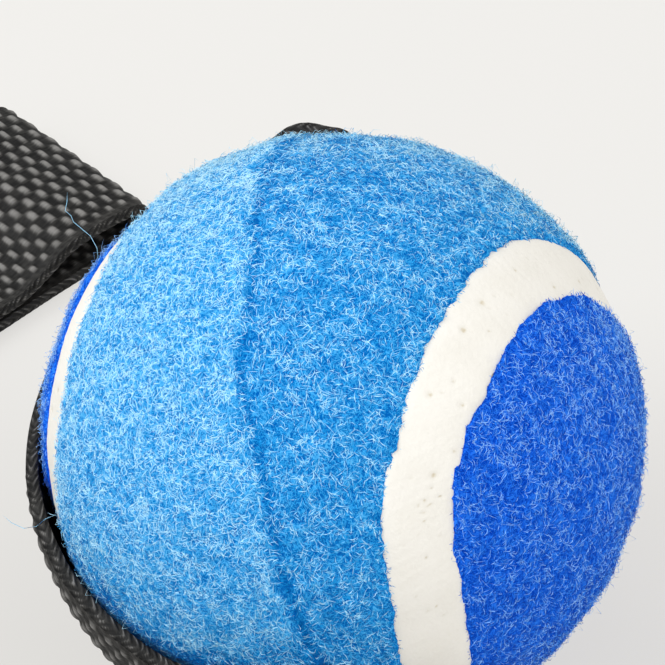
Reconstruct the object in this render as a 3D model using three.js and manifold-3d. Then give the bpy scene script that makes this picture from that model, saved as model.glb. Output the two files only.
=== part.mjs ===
// Dog tug ball: a felt covered rubber ball clamped on a doubled webbing handle.
// Millimetres, +Z up, the origin in the middle of the flat patch the ball rests on.
import * as THREE from 'three';
import { mergeVertices } from 'three/addons/utils/BufferGeometryUtils.js';
import Module from 'manifold-3d';

const wasm = await Module();
wasm.setup();

// Ball
const feltRadius = 31.8;
const feltThick = 2.8;
const coreWall = 4;
const layerGap = 0.3;
const restDepth = 0.4;
const cementThick = 0.6;
const seamWidth = 6.7;
const seamSink = 0.5;
const seamWave = 0.149;
const seamCorner = 0.043;
const ballTurn = [16.8, -18.5, -0.4];
const seamTurn = [-7, -1.2, -68.6];

// Webbing
const strapWidth = 25;
const strapThick = 1.8;
const plyGap = 0.3;
const slitClear = 0.35;
const napRoom = 1;
const chordDrop = 5.5;
const neckStraight = 8;
const wrapFrom = 92.8;
const wrapTo = 252;
const wrapTilt = 4.6;
const backBulge = 0.9;
const floorClear = 0.2;
const loopHalfGap = 10;
const bightGap = 2.8;
const tipHump = 0.6;
const bightLength = 33.1;
const stripCuts = 10;

// Sewing
const threadThick = 0.7;
const threadGap = 0.15;
const tackLength = 3;
const tackWidth = 21;
const boxWidth = 18;
const lineWidth = 1.4;

// Fits that follow from the sizes above
const coreRadius = feltRadius - feltThick - layerGap;
const ballHeight = feltRadius - restDepth;
const strapRadius = feltRadius + napRoom + strapThick / 2;
const slitWidth = strapWidth + 2 * slitClear;
const slitThick = strapThick + 2 * slitClear;
const plyOffset = (strapThick + plyGap) / 2;
const pairHalf = strapThick + plyGap / 2;
const threadOffset = pairHalf + threadGap + threadThick / 2;
const rad = THREE.MathUtils.degToRad;
const up = new THREE.Vector3(0, 0, 1);

const group = new THREE.Group();
const colours = {
  rubber: 0x6d5a4a,
  cement: 0xb99b6b,
  lightFelt: 0x2f9be0,
  royalFelt: 0x2547a8,
  seam: 0xe9e2d2,
  webbing: 0x17181a,
  thread: 0x232427
};

function addNode(name, geometry, colour) {
  const material = new THREE.MeshStandardMaterial({ color: colour, roughness: 0.9 });
  const mesh = new THREE.Mesh(geometry, material);
  mesh.name = name;
  group.add(mesh);
}

// Closed solids as plain triangle lists, always facing out

function solid(points, faces) {
  let volume = 0;
  for (const [a, b, c] of faces) {
    volume += points[a].dot(new THREE.Vector3().crossVectors(points[b], points[c]));
  }
  const order = volume < 0 ? faces.map(([a, b, c]) => [a, c, b]) : faces;
  const geometry = new THREE.BufferGeometry();
  geometry.setAttribute('position', new THREE.Float32BufferAttribute(points.flatMap((p) => p.toArray()), 3));
  geometry.setIndex(order.flat());
  return geometry;
}

function toManifold(geometry) {
  const bare = geometry.clone();
  bare.deleteAttribute('normal');
  bare.deleteAttribute('uv');
  const welded = mergeVertices(bare, 1e-4);
  const vertProperties = new Float32Array(welded.attributes.position.array);
  const triVerts = new Uint32Array(welded.index.array);
  return new wasm.Manifold(new wasm.Mesh({ numProp: 3, vertProperties, triVerts }));
}

function fromManifold(body) {
  const mesh = body.getMesh();
  const geometry = new THREE.BufferGeometry();
  geometry.setAttribute('position', new THREE.Float32BufferAttribute(mesh.vertProperties, 3));
  geometry.setIndex(Array.from(mesh.triVerts));
  return geometry;
}

// A sheet of points made thick: rows of points outside, the same rows inside, and the four edges

function thickSheet(outer, inner) {
  const rows = outer.length;
  const cols = outer[0].length;
  const points = outer.flat().concat(inner.flat());
  const at = (side, i, j) => side * rows * cols + i * cols + j;
  const faces = [];
  const quad = (a, b, c, d) => faces.push([a, b, c], [a, c, d]);
  for (let i = 0; i < rows - 1; i++) {
    for (let j = 0; j < cols - 1; j++) {
      quad(at(0, i, j), at(0, i + 1, j), at(0, i + 1, j + 1), at(0, i, j + 1));
      quad(at(1, i, j), at(1, i, j + 1), at(1, i + 1, j + 1), at(1, i + 1, j));
    }
  }
  for (let i = 0; i < rows - 1; i++) {
    quad(at(0, i, 0), at(1, i, 0), at(1, i + 1, 0), at(0, i + 1, 0));
    quad(at(0, i, cols - 1), at(0, i + 1, cols - 1), at(1, i + 1, cols - 1), at(1, i, cols - 1));
  }
  for (let j = 0; j < cols - 1; j++) {
    quad(at(0, 0, j), at(0, 0, j + 1), at(1, 0, j + 1), at(1, 0, j));
    quad(at(0, rows - 1, j), at(1, rows - 1, j), at(1, rows - 1, j + 1), at(0, rows - 1, j + 1));
  }
  return solid(points, faces);
}

// The ball's own axes: X across the core's joint, Y along the strap's run through it

const ballMatrix = new THREE.Matrix4()
  .makeRotationFromEuler(new THREE.Euler(...ballTurn.map(rad), 'XYZ'))
  .setPosition(0, 0, ballHeight);
const seamMatrix = new THREE.Matrix4()
  .makeRotationFromEuler(new THREE.Euler(...seamTurn.map(rad), 'XYZ'))
  .premultiply(ballMatrix);
const onBall = (x, y, z) => new THREE.Vector3(x, y, z).applyMatrix4(ballMatrix);
const ballAcross = new THREE.Vector3(0, 0, 1).transformDirection(ballMatrix);

// Seam curve: one wave round the sphere that parts it into two dumbbell panels, with slightly squared corners

function seamPoint(t) {
  const major = 1 - seamWave;
  return new THREE.Vector3(
    major * Math.cos(t) + seamWave * Math.cos(3 * t),
    major * Math.sin(t) - seamWave * Math.sin(3 * t),
    2 * Math.sqrt(major * seamWave) * Math.sin(2 * t) + seamCorner * Math.sin(6 * t)
  ).normalize();
}

function seamEdge(t, offset) {
  const middle = seamPoint(t);
  const along = seamPoint(t + 0.001).sub(seamPoint(t - 0.001)).normalize();
  const side = new THREE.Vector3().crossVectors(middle, along).normalize();
  const turn = offset / feltRadius;
  return middle.multiplyScalar(Math.cos(turn)).addScaledVector(side, Math.sin(turn));
}

function arcPoint(a, b, share) {
  const angle = a.angleTo(b);
  const start = a.clone().multiplyScalar(Math.sin((1 - share) * angle) / Math.sin(angle));
  return start.addScaledVector(b, Math.sin(share * angle) / Math.sin(angle));
}

function panel(tip, side) {
  const rows = 52;
  const cols = 12;
  const edge = side * (seamWidth / 2 + layerGap);
  const layer = (radius) => Array.from({ length: rows + 1 }, (none, i) => {
    const turn = 0.03 + (Math.PI - 0.06) * i / rows;
    const a = seamEdge(tip + turn, edge);
    const b = seamEdge(tip - turn, edge);
    return Array.from({ length: cols + 1 }, (blank, j) =>
      arcPoint(a, b, j / cols).multiplyScalar(radius).applyMatrix4(seamMatrix));
  });
  return toManifold(thickSheet(layer(feltRadius), layer(feltRadius - feltThick)));
}

function seamRing() {
  const steps = 104;
  const halves = [-seamWidth / 2, seamWidth / 2];
  const radii = [feltRadius - feltThick, feltRadius - seamSink];
  const points = [];
  const faces = [];
  for (let i = 0; i < steps; i++) {
    const t = 2 * Math.PI * i / steps;
    for (const [h, r] of [[0, 0], [1, 0], [1, 1], [0, 1]]) {
      points.push(seamEdge(t, halves[h]).multiplyScalar(radii[r]).applyMatrix4(seamMatrix));
    }
    for (let k = 0; k < 4; k++) {
      const a = 4 * i + k;
      const b = 4 * i + (k + 1) % 4;
      const c = 4 * ((i + 1) % steps) + (k + 1) % 4;
      const d = 4 * ((i + 1) % steps) + k;
      faces.push([a, b, c], [a, c, d]);
    }
  }
  return toManifold(solid(points, faces));
}

// Cutters: the two slits for the strap, and the table under the ball

function placedBox(x, y, z, cx, cy, cz, matrix) {
  const geometry = new THREE.BoxGeometry(x, y, z).translate(cx, cy, cz);
  return toManifold(matrix ? geometry.applyMatrix4(matrix) : geometry);
}

const slitReach = feltRadius;
const slits = [1, -1].map((end) =>
  placedBox(slitThick, slitReach, slitWidth, 0, end * slitReach, -chordDrop, ballMatrix));
const table = placedBox(60, 60, 20, 0, 0, -10, null);
const cutSlits = (body) => slits.reduce((left, slit) => left.subtract(slit), body);

addNode('felt_panel_light', fromManifold(cutSlits(panel(-Math.PI / 4, 1)).subtract(table)), colours.lightFelt);
addNode('felt_panel_royal', fromManifold(cutSlits(panel(Math.PI / 4, -1)).subtract(table)), colours.royalFelt);
addNode('seam_band', fromManifold(cutSlits(seamRing()).subtract(table)), colours.seam);

// Rubber core: two bowls with a ring of cement between their rims

function coreHalf(side) {
  const rim = cementThick / 2 + layerGap;
  const inner = coreRadius - coreWall;
  const profile = [];
  const arcSteps = 10;
  for (let i = 0; i <= arcSteps; i++) {
    const turn = Math.acos(rim / coreRadius) * i / arcSteps;
    profile.push(new THREE.Vector2(coreRadius * Math.sin(turn), coreRadius * Math.cos(turn)));
  }
  for (let i = arcSteps; i >= 0; i--) {
    const turn = Math.acos(rim / inner) * i / arcSteps;
    profile.push(new THREE.Vector2(inner * Math.sin(turn), inner * Math.cos(turn)));
  }
  profile[0].x = 0;
  profile[profile.length - 1].x = 0;
  const bowl = new THREE.LatheGeometry(profile, 36);
  bowl.rotateZ(side * Math.PI / 2).applyMatrix4(ballMatrix);
  return cutSlits(orient(bowl));
}

function orient(geometry) {
  const bare = geometry.clone();
  bare.deleteAttribute('normal');
  bare.deleteAttribute('uv');
  const welded = mergeVertices(bare, 1e-4);
  const place = welded.attributes.position;
  const points = Array.from({ length: place.count }, (none, i) => new THREE.Vector3().fromBufferAttribute(place, i));
  const faces = [];
  for (let i = 0; i < welded.index.count; i += 3) {
    const [a, b, c] = [0, 1, 2].map((k) => welded.index.getX(i + k));
    if (a !== b && b !== c && a !== c) faces.push([a, b, c]);
  }
  return toManifold(solid(points, faces));
}

function cementArc(end) {
  const inner = coreRadius - coreWall;
  const half = cementThick / 2;
  const outer = coreRadius;
  const profile = [[inner, -half], [outer, -half], [outer, half], [inner, half], [inner, -half]];
  const ring = new THREE.LatheGeometry(profile.map(([r, y]) => new THREE.Vector2(r, y)), 64);
  ring.rotateZ(Math.PI / 2).applyMatrix4(ballMatrix);
  const side = placedBox(10, 80, 40, 0, 0, end * 20 - chordDrop, ballMatrix);
  return cutSlits(orient(ring)).intersect(side);
}

addNode('core_left_half', fromManifold(coreHalf(1)), colours.rubber);
addNode('core_right_half', fromManifold(coreHalf(-1)), colours.rubber);
addNode('core_cement_upper', fromManifold(cementArc(1)), colours.cement);
addNode('core_cement_lower', fromManifold(cementArc(-1)), colours.cement);

// A route is a list of stations, each with its place and the direction of the strap's width

function makeRoute(stations) {
  const place = new THREE.CatmullRomCurve3(stations.map((s) => s.at), false, 'centripetal');
  const last = stations.length - 1;
  const frame = (station) => {
    const share = THREE.MathUtils.clamp(station / last, 0, 1);
    const near = Math.min(Math.floor(share * last), last - 1);
    const ease = THREE.MathUtils.smoothstep(share * last - near, 0, 1);
    const across = stations[near].across.clone().lerp(stations[near + 1].across, ease);
    const ahead = place.getPoint(Math.min(share + 1e-4, 1));
    const along = ahead.sub(place.getPoint(Math.max(share - 1e-4, 0))).normalize();
    const normal = new THREE.Vector3().crossVectors(along, across).normalize();
    const width = new THREE.Vector3().crossVectors(normal, along).normalize();
    return { at: place.getPoint(share), along, normal, width };
  };
  const shift = (station, distance) => {
    const step = Math.sign(distance) * 0.002;
    let reached = 0;
    let here = station;
    while (reached < Math.abs(distance) && here + step > 0 && here + step < last) {
      reached += frame(here).at.distanceTo(frame(here + step).at);
      here += step;
    }
    return here;
  };
  return { frame, shift, last };
}

// A flat strip along a route: lift moves it off the route's face, slide moves it across.
// All strips of a route are cut at the same stations, so neighbours keep their gap where it twists.

function strip(route, from, to, size, lift, slide = () => 0) {
  const cuts = [from];
  for (let k = Math.floor(from * stripCuts) + 1; k / stripCuts < to - 0.01; k++) {
    if (k / stripCuts > from + 0.01) cuts.push(k / stripCuts);
  }
  cuts.push(to);
  const sides = size.cup ? [-1, -0.5, 0, 0.5, 1] : [-1, 1];
  const count = sides.length;
  const ring = sides.map((w) => [w, -1]).concat(sides.toReversed().map((w) => [w, 1]));
  const points = [];
  const faces = [];
  for (const station of cuts) {
    const { at, normal, width } = route.frame(station);
    const middle = at.clone().addScaledVector(normal, lift(station)).addScaledVector(width, slide(station));
    const cup = size.cup ? size.cup(station) : 0;
    for (const [w, t] of ring) {
      const corner = middle.clone().addScaledVector(width, w * size.width / 2);
      points.push(corner.addScaledVector(normal, t * size.thick / 2 - cup * w * w));
    }
  }
  const turn = 2 * count;
  const end = turn * (cuts.length - 1);
  for (let i = 0; i < end; i += turn) {
    for (let k = 0; k < turn; k++) {
      const a = i + k;
      const b = i + (k + 1) % turn;
      if (k < count - 1) faces.push([a, b, b + turn], [a, b + turn, a + turn]);
      else faces.push([a, b, a + turn], [b, b + turn, a + turn]);
    }
  }
  for (let k = 0; k < count - 1; k++) {
    const top = turn - 1 - k;
    faces.push([k, top, top - 1], [k, top - 1, k + 1]);
    faces.push([end + k, end + k + 1, end + top - 1], [end + k, end + top - 1, end + top]);
  }
  return solid(points, faces);
}

const webbing = { width: strapWidth, thick: strapThick };

// A bend line of the handle: the full round end that one side of the strap turns about

function bendRoll(frame) {
  const roll = new THREE.CylinderGeometry(pairHalf, pairHalf, strapWidth, 20);
  const turn = new THREE.Quaternion().setFromUnitVectors(new THREE.Vector3(0, 1, 0), frame.width);
  return toManifold(roll.applyQuaternion(turn).translate(...frame.at.toArray()));
}

// Handle route in plan: x, y and how far the strap leans from standing on its edge
const handlePlan = [
  [-3, -51, 0],
  [-8, -58, 0],
  [-22, -70, 0],
  [-42, -74, 0],
  [-61, -67, 0],
  [-75, -51, 0],
  [-82, -29, 0],
  [-84, -5, 0],
  [-82, 18, 8],
  [-77, 30, 35],
  [-70.5, 37.5, 66],
  [-63, 43.7, 88],
  [-56.1, 50.5, 90],
  [-45.5, 61.1, 90]
];

function leaning(plan) {
  return plan.map(([x, y, lean], i) => {
    const before = plan[Math.max(i - 1, 0)];
    const after = plan[Math.min(i + 1, plan.length - 1)];
    const along = new THREE.Vector3(after[0] - before[0], after[1] - before[1], 0).normalize();
    const outward = new THREE.Vector3().crossVectors(up, along);
    const across = up.clone().multiplyScalar(Math.cos(rad(lean))).addScaledVector(outward, Math.sin(rad(lean)));
    const height = strapWidth / 2 * Math.cos(rad(lean)) + pairHalf * Math.sin(rad(lean)) + floorClear;
    return { at: new THREE.Vector3(x, y, height), across };
  });
}

// The neck leaves the front slit straight, then the handle follows its plan
const slitY = Math.sqrt(strapRadius ** 2 - chordDrop ** 2);
const neckReach = slitY + neckStraight;
const handle = makeRoute([
  { at: onBall(-plyOffset, -slitY, -chordDrop), across: ballAcross },
  { at: onBall(-plyOffset, -neckReach, -chordDrop), across: ballAcross },
  ...leaning(handlePlan)
]);
const neckBend = 3;
const gripBend = neckBend + 2.4;
const tipBend = handle.last - 1;
const bendClear = pairHalf + layerGap;
const seamlessJoin = 0.4;

// The strap's run through the ball and out along the right of the neck
const innerRun = makeRoute([
  { at: onBall(0, slitY + backBulge + strapThick / 2, -chordDrop), across: ballAcross },
  { at: onBall(0, -slitY - seamlessJoin, -chordDrop), across: ballAcross }
]);
const innerStrip = toManifold(strip(innerRun, 0, innerRun.last, webbing, () => 0));
const neckRight = toManifold(strip(handle, 0, neckBend, webbing, () => -plyOffset));
const neckRoll = bendRoll(handle.frame(neckBend));
addNode('strap_inner_run', fromManifold(innerStrip.add(neckRight).add(neckRoll)), colours.webbing);

// The wrap: out of the back slit, round the left half of the ball, then out along the left of the neck.
// It bulges at the slit, runs lower behind the ball and higher in front, and ends level with the slits.
function wrapStation(turn) {
  const sway = THREE.MathUtils.clamp((turn - 180) / 75, -1, 1);
  const latitude = rad(wrapTilt) * Math.sin(Math.PI * sway) - Math.asin(chordDrop / strapRadius);
  return new THREE.Vector3(
    Math.cos(latitude) * Math.cos(rad(turn)),
    Math.cos(latitude) * Math.sin(rad(turn)),
    Math.sin(latitude)
  );
}

const wrapStations = [];
const wrapSteps = 16;
for (let i = 0; i <= wrapSteps; i++) {
  const turn = wrapFrom + (wrapTo - wrapFrom) * i / wrapSteps;
  const along = wrapStation(turn + 0.5).sub(wrapStation(turn - 0.5));
  const outward = wrapStation(turn);
  const across = new THREE.Vector3().crossVectors(outward, along).normalize().transformDirection(ballMatrix);
  const radius = strapRadius + backBulge * (1 - THREE.MathUtils.smoothstep(turn, wrapFrom, wrapFrom + 18));
  wrapStations.push({ at: outward.multiplyScalar(radius).applyMatrix4(ballMatrix), across });
}
const besideNeck = -2 * plyOffset;
wrapStations.push({ at: onBall(besideNeck - 4.2, -slitY + 0.2, -chordDrop), across: ballAcross });
wrapStations.push({ at: onBall(besideNeck - 1, -slitY - 2.6, -chordDrop), across: ballAcross });
for (const station of [0.8, 1]) {
  const { at, normal, width } = handle.frame(station);
  wrapStations.push({ at: at.addScaledVector(normal, plyOffset), across: width });
}
const wrap = makeRoute(wrapStations);
const wrapCup = strapWidth ** 2 / (8 * strapRadius);
const easeCup = (station) =>
  wrapCup * THREE.MathUtils.smoothstep(station, 0.3, 1.9) * THREE.MathUtils.smoothstep(wrapSteps - station, -1, 2.2);
const wrapStrip = toManifold(strip(wrap, 0, wrap.last, { ...webbing, cup: easeCup }, () => 0));
const neckTo = handle.shift(neckBend, -bendClear - 2 * layerGap);
const neckLeft = toManifold(strip(handle, 0.98, neckTo, webbing, () => plyOffset));
addNode('strap_ball_wrap', fromManifold(wrapStrip.add(neckLeft)), colours.webbing);

// Neck tacks, one on each outer face of the sewn neck
const tack = { width: tackWidth, thick: threadThick };
const neckTack = 1.9;
const neckTackTo = handle.shift(neckTack, tackLength);
addNode('neck_tack_right', strip(handle, neckTack, neckTackTo, tack, () => -threadOffset), colours.thread);
addNode('neck_tack_left', strip(handle, neckTack, neckTackTo, tack, () => threadOffset), colours.thread);

// Handle root: two sewn plies from the neck to the bend before the hand loop
const rootFrom = handle.shift(neckBend, bendClear);
const rootTo = handle.shift(gripBend, -bendClear);
const rootOuter = toManifold(strip(handle, rootFrom, gripBend, webbing, () => -plyOffset));
addNode('root_ply_outer', fromManifold(rootOuter.add(bendRoll(handle.frame(gripBend)))), colours.webbing);
addNode('root_ply_inner', strip(handle, rootFrom, rootTo, webbing, () => plyOffset), colours.webbing);

// Box stitch: a rectangle of thread with a cross in it
function boxStitch(side) {
  const from = neckBend + 0.75;
  const to = neckBend + 1.95;
  const lift = () => side * threadOffset;
  const line = { width: lineWidth, thick: threadThick };
  const bar = { width: boxWidth, thick: threadThick };
  const half = (boxWidth - lineWidth) / 2;
  const pieces = [
    strip(handle, from, to, line, lift, () => half),
    strip(handle, from, to, line, lift, () => -half),
    strip(handle, from, to, line, lift, (station) => half * (2 * (station - from) / (to - from) - 1)),
    strip(handle, from, to, line, lift, (station) => half * (1 - 2 * (station - from) / (to - from))),
    strip(handle, from, handle.shift(from, lineWidth), bar, lift),
    strip(handle, handle.shift(to, -lineWidth), to, bar, lift)
  ].map(toManifold);
  return fromManifold(pieces.reduce((left, piece) => left.add(piece)));
}

addNode('box_stitch_outer', boxStitch(-1), colours.thread);
addNode('box_stitch_inner', boxStitch(1), colours.thread);

// Hand loop: the plies part into an eye and close again, then lie down flat
const loopFrom = handle.shift(gripBend, bendClear);
const loopTo = handle.shift(tipBend, -bendClear);
const eyeFrom = neckBend + 2.9;
const eyeTo = neckBend + 6.7;

function eyeLift(station) {
  const inside = THREE.MathUtils.clamp((station - eyeFrom) / (eyeTo - eyeFrom), 0, 1);
  return plyOffset + loopHalfGap * Math.sin(inside * Math.PI) ** 2;
}

const loopOuter = toManifold(strip(handle, loopFrom, tipBend, webbing, (station) => -eyeLift(station)));
addNode('loop_ply_outer', fromManifold(loopOuter.add(bendRoll(handle.frame(tipBend)))), colours.webbing);
addNode('loop_ply_inner', strip(handle, loopFrom, loopTo, webbing, eyeLift), colours.webbing);

// Tacks that close the eye at both ends, on both faces
for (const [place, station] of [['near', eyeFrom - 0.2], ['far', eyeTo + 0.12]]) {
  const until = handle.shift(station, tackLength);
  addNode(`eye_tack_${place}_outer`, strip(handle, station, until, tack, () => -threadOffset), colours.thread);
  addNode(`eye_tack_${place}_inner`, strip(handle, station, until, tack, () => threadOffset), colours.thread);
}

// Tip: the strap's folded end, flat on the table, as one strip that turns back on itself
const tipFrame = handle.frame(tipBend);
const tipLow = floorClear + strapThick / 2;
const tipNear = tipLow + strapThick + plyGap;
const tipHigh = tipLow + strapThick + bightGap;
const tipAt = (distance, height) => {
  const at = tipFrame.at.clone().setZ(height);
  return { at: at.addScaledVector(tipFrame.along.clone().setZ(0).normalize(), distance), across: tipFrame.width };
};
const foldRadius = (tipHigh - tipLow) / 2;
const foldAt = bightLength - foldRadius;
const tip = makeRoute([
  tipAt(bendClear, tipLow),
  tipAt(foldAt * 0.5, tipLow),
  tipAt(foldAt, tipLow),
  tipAt(foldAt + foldRadius * 0.71, tipLow + foldRadius * 0.29),
  tipAt(foldAt + foldRadius, tipLow + foldRadius),
  tipAt(foldAt + foldRadius * 0.71, tipHigh - foldRadius * 0.29),
  tipAt(foldAt, tipHigh),
  tipAt(foldAt - 6, tipHigh + tipHump),
  tipAt(foldAt - 9.5, (tipNear + tipHigh) / 2),
  tipAt(foldAt - 13, tipNear + 0.3),
  tipAt(foldAt * 0.36, tipNear + 0.1),
  tipAt(bendClear, tipNear)
]);
addNode('strap_tip', strip(tip, 0, tip.last, webbing, () => 0), colours.webbing);

export default group;
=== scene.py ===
import math

import bpy
import numpy as np
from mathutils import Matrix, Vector


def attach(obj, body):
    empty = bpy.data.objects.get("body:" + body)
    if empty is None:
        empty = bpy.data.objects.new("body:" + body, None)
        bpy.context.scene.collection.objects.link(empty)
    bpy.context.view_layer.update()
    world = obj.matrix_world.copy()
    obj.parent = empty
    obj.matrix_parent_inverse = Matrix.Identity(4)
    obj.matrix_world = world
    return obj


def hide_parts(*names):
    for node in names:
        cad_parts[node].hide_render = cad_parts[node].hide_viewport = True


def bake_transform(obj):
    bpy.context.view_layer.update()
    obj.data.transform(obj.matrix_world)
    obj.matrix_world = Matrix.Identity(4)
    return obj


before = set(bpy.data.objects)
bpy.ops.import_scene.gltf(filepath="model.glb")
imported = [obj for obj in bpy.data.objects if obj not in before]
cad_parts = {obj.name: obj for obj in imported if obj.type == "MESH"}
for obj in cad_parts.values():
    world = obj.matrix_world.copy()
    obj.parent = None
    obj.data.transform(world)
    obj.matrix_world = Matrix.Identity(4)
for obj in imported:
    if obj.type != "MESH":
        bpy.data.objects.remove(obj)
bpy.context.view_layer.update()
scene = bpy.context.scene
mm = 0.001

# The view: 45 degrees above the table, aimed at the ball's middle, which sits low in the picture
camera = {
    "distance": 520.0, "elevation": 45.0, "focal": 4870.0, "picture": 665.0,
    "ballAt": (343.0, 435.0), "sensor": 36.0, "nearest": 0.02,
}
# The ball's own axes: x across the core's joint, y along the strap's run through it, z along its width
ball = {
    "felt": 31.8, "height": 31.4, "turn": (16.8, -18.5, -0.4), "chordDrop": 5.5, "seamShift": 0.35,
    "seamTurn": (-7.3, -0.4, -67.9), "seamWave": 0.149, "seamCorner": 0.043, "seamWidth": 6.7,
}
# The strap: its section, its weave and the way it lies
strap = {
    "width": 25.0, "thick": 1.8, "gap": 0.3, "napRoom": 1.0, "pitch": 2.06, "columns": 3.8,
    "wrapTilt": (3.3, 4.6), "wrapSway": (57.0, 75.0), "wrapTurns": (88.0, 272.0), "backBulge": 0.35,
    "neckStraight": 8.0, "floorClear": 0.2, "loopHalfGap": 10.0,
    "bightGap": 2.8, "tipHump": 0.6, "bightLength": 33.1,
    "plan": [(-3, -51, 0), (-8, -58, 0), (-22, -70, 0), (-42, -74, 0), (-61, -67, 0), (-75, -51, 0),
             (-82, -29, 0), (-84, -5, 0), (-82, 18, 8), (-77, 30, 35), (-70.5, 37.5, 66), (-63, 43.7, 88),
             (-56.1, 50.5, 90), (-45.5, 61.1, 90)],
}


def turned(angles):
    x, y, z = np.radians(angles)
    aboutX = np.array([[1, 0, 0], [0, np.cos(x), -np.sin(x)], [0, np.sin(x), np.cos(x)]])
    aboutY = np.array([[np.cos(y), 0, np.sin(y)], [0, 1, 0], [-np.sin(y), 0, np.cos(y)]])
    aboutZ = np.array([[np.cos(z), -np.sin(z), 0], [np.sin(z), np.cos(z), 0], [0, 0, 1]])
    return aboutX @ aboutY @ aboutZ


ballAxes = turned(ball["turn"])
seamAxes = ballAxes @ turned(ball["seamTurn"])
ballCentre = np.array([0, 0, ball["height"]])
# A direction times this radius is a place in the nap, in millimetres
napRadius = 32.0


def unit(v):
    return v / np.maximum(np.linalg.norm(v, axis=-1, keepdims=True), 1e-12)


def toWorld(points):
    return points @ ballAxes.T + ballCentre


# A tone and the sum of further terms, each times its weight
def toned(tone, weights, terms):
    for key, term in terms.items():
        tone = tone + weights[key] * term
    return tone


# None to one with a gentle start and end
def eased(share):
    return share * share * (3 - 2 * share)


def makeMesh(name, points, faces, material, tone=None, normals=None, smooth=True):
    faces = np.asarray(faces, np.int32)
    corners = faces.shape[1]
    mesh = bpy.data.meshes.new(name)
    mesh.vertices.add(len(points))
    mesh.vertices.foreach_set("co", (points * mm).astype(np.float32).ravel())
    mesh.loops.add(faces.size)
    mesh.loops.foreach_set("vertex_index", faces.ravel())
    mesh.polygons.add(len(faces))
    mesh.polygons.foreach_set("loop_start", np.arange(0, faces.size, corners, dtype=np.int32))
    mesh.polygons.foreach_set("use_smooth", np.full(len(faces), smooth))
    mesh.update(calc_edges=True)
    if tone is not None:
        layer = mesh.attributes.new("tone", "FLOAT", "POINT")
        layer.data.foreach_set("value", np.asarray(tone, np.float32))
    mesh.materials.append(material)
    mesh.validate()
    if normals is not None:
        mesh.normals_split_custom_set_from_vertices(np.asarray(normals, np.float32))
    piece = bpy.data.objects.new(name, mesh)
    scene.collection.objects.link(piece)
    return piece


# The same faces, turned to look away from the ball's centre, or out of a closed body
def facingOut(points, faces):
    corners = (points - ballCentre)[faces]
    volume = 0.0
    for k in range(1, faces.shape[1] - 1):
        volume += (corners[:, 0] * np.cross(corners[:, k], corners[:, k + 1])).sum()
    return faces if volume > 0 else faces[:, ::-1]


def gridFaces(rows, cols, ringed=False):
    i = np.arange(rows - 1)[:, None]
    j = np.arange(cols if ringed else cols - 1)[None, :]
    k = (j + 1) % cols
    return np.stack([i * cols + j, i * cols + k, (i + 1) * cols + k, (i + 1) * cols + j], -1).reshape(-1, 4)


# A smooth random field: sine waves in random directions, each about the given length in millimetres,
# added up and scaled to an even strength
def waves(points, length, count, seed):
    rng = np.random.default_rng(seed)
    way = unit(rng.normal(size=(count, 3))) * (2 * np.pi / length) * rng.uniform(0.7, 1.4, (count, 1))
    phase = rng.uniform(0, 2 * np.pi, count)
    total = np.zeros(len(points))
    for w, p in zip(way, phase):
        total += np.sin(points @ w + p)
    return total / np.sqrt(count / 2)


# Seam curve on the unit sphere, one wave with slightly squared corners, and its parallel at an offset
def seamPoint(t):
    b = ball["seamWave"]
    a = 1 - b
    return unit(np.stack([a * np.cos(t) + b * np.cos(3 * t), a * np.sin(t) - b * np.sin(3 * t),
                          2 * math.sqrt(a * b) * np.sin(2 * t) + ball["seamCorner"] * np.sin(6 * t)], -1))


def seamSide(t):
    small = 0.001
    return unit(np.cross(seamPoint(t), unit(seamPoint(t + small) - seamPoint(t - small))))


def seamEdge(t, offset):
    turn = ((offset + ball["seamShift"]) / ball["felt"])[..., None]
    return seamPoint(t) * np.cos(turn) + seamSide(t) * np.sin(turn)


seamAt = np.linspace(0, 2 * np.pi, 720, endpoint=False)
seamCurve = seamPoint(seamAt) @ seamAxes.T
seamFacing = seamSide(seamAt) @ seamAxes.T


# Millimetres from a direction to the seam band's middle, positive on the sky blue side
def fromSeam(ways):
    far = np.empty(len(ways))
    block = 4000
    for start in range(0, len(ways), block):
        part = ways[start:start + block]
        near = np.argmax(part @ seamCurve.T, 1)
        reach = np.arccos(np.clip((part * seamCurve[near]).sum(1), -1, 1)) * ball["felt"]
        far[start:start + block] = reach * np.sign((part * seamFacing[near]).sum(1))
    return far - ball["seamShift"]


# The wrap starts and ends level with the run through the ball, and sways lower behind and higher in front
strapRadius = ball["felt"] + strap["napRoom"] + strap["thick"] / 2


def wrapLatitude(turn):
    front = turn > 180
    sway = np.clip((turn - 180) / np.where(front, *strap["wrapSway"]), -1, 1)
    tilt = np.radians(np.where(front, *strap["wrapTilt"]))
    return tilt * np.sin(np.pi * sway) - math.asin(ball["chordDrop"] / strapRadius)


# Millimetres from a direction to the wrap's edge, negative under the strap
def outsideWrap(ways):
    own = ways @ ballAxes
    turn = np.degrees(np.arctan2(own[:, 1], own[:, 0])) % 360
    aside = np.abs(np.arcsin(np.clip(own[:, 2], -1, 1)) - wrapLatitude(turn)) * napRadius
    first, last = strap["wrapTurns"]
    farOff = 50.0
    return np.where((turn > first) & (turn < last), aside - strap["width"] / 2, farOff)


# The height that felt and nap may take: little under the strap, plenty elsewhere
def roomUnderStrap(ways):
    margin = 0.2
    plenty = 9.0
    return np.where(outsideWrap(ways) < margin, strap["napRoom"] - margin, plenty)


# One at the wrap's edge and fading away from it: the weight of painted shade on the felt and nap beside the
# strap, where the nap is pressed down and hardly lit
def strapShade(ways):
    fade = 1.5
    return np.exp(-np.maximum(outsideWrap(ways), 0) / fade)


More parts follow.
